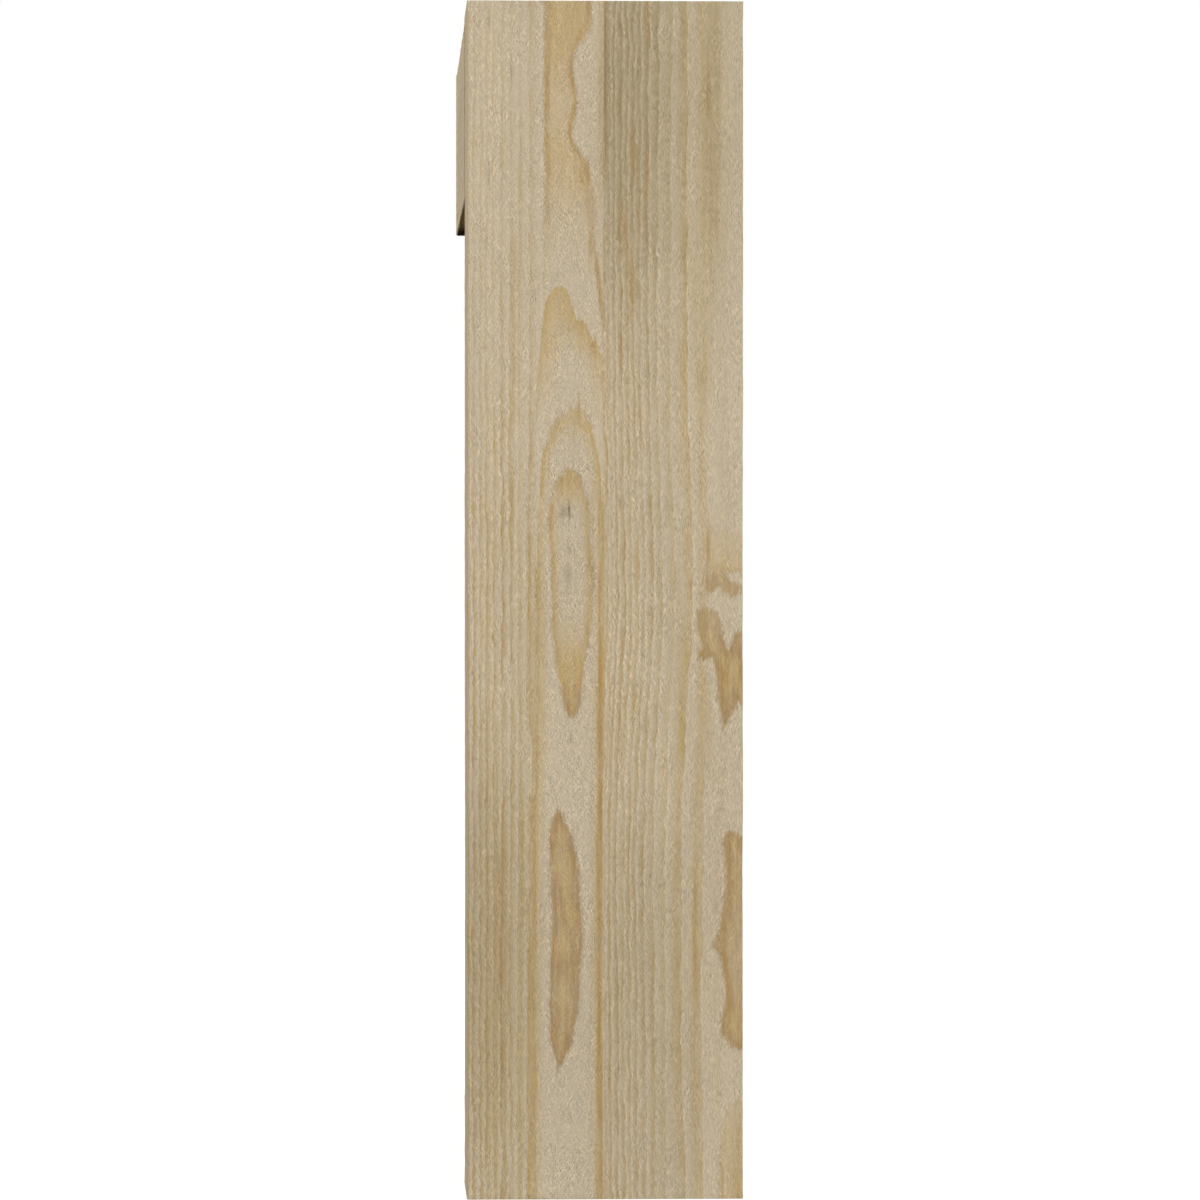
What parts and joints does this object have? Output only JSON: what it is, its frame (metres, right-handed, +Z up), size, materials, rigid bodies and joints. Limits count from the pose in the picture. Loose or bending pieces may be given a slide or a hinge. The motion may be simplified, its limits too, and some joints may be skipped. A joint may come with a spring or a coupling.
{
  "type": "timber bracket",
  "caption": "Rough-sawn timber wall bracket: an upright post, a level arm flush with its top and sides, and a narrower diagonal brace under the arm.",
  "frame": {"origin": "centre of the post's back face, the face that lies on the wall", "axes": "+Z up along the post, +Y away from the wall along the arm, +X across the width"},
  "size_m": [0.1524, 0.4572, 0.6604],
  "materials": {
    "post_timber": "rough sawn, unfinished softwood",
    "arm_timber": "rough sawn, unfinished softwood",
    "brace_timber": "rough sawn, unfinished softwood"
  },
  "bodies": {
    "root": {"wall_post": "post_timber", "top_arm": "arm_timber", "knee_brace": "brace_timber"}
  },
  "joints": []
}
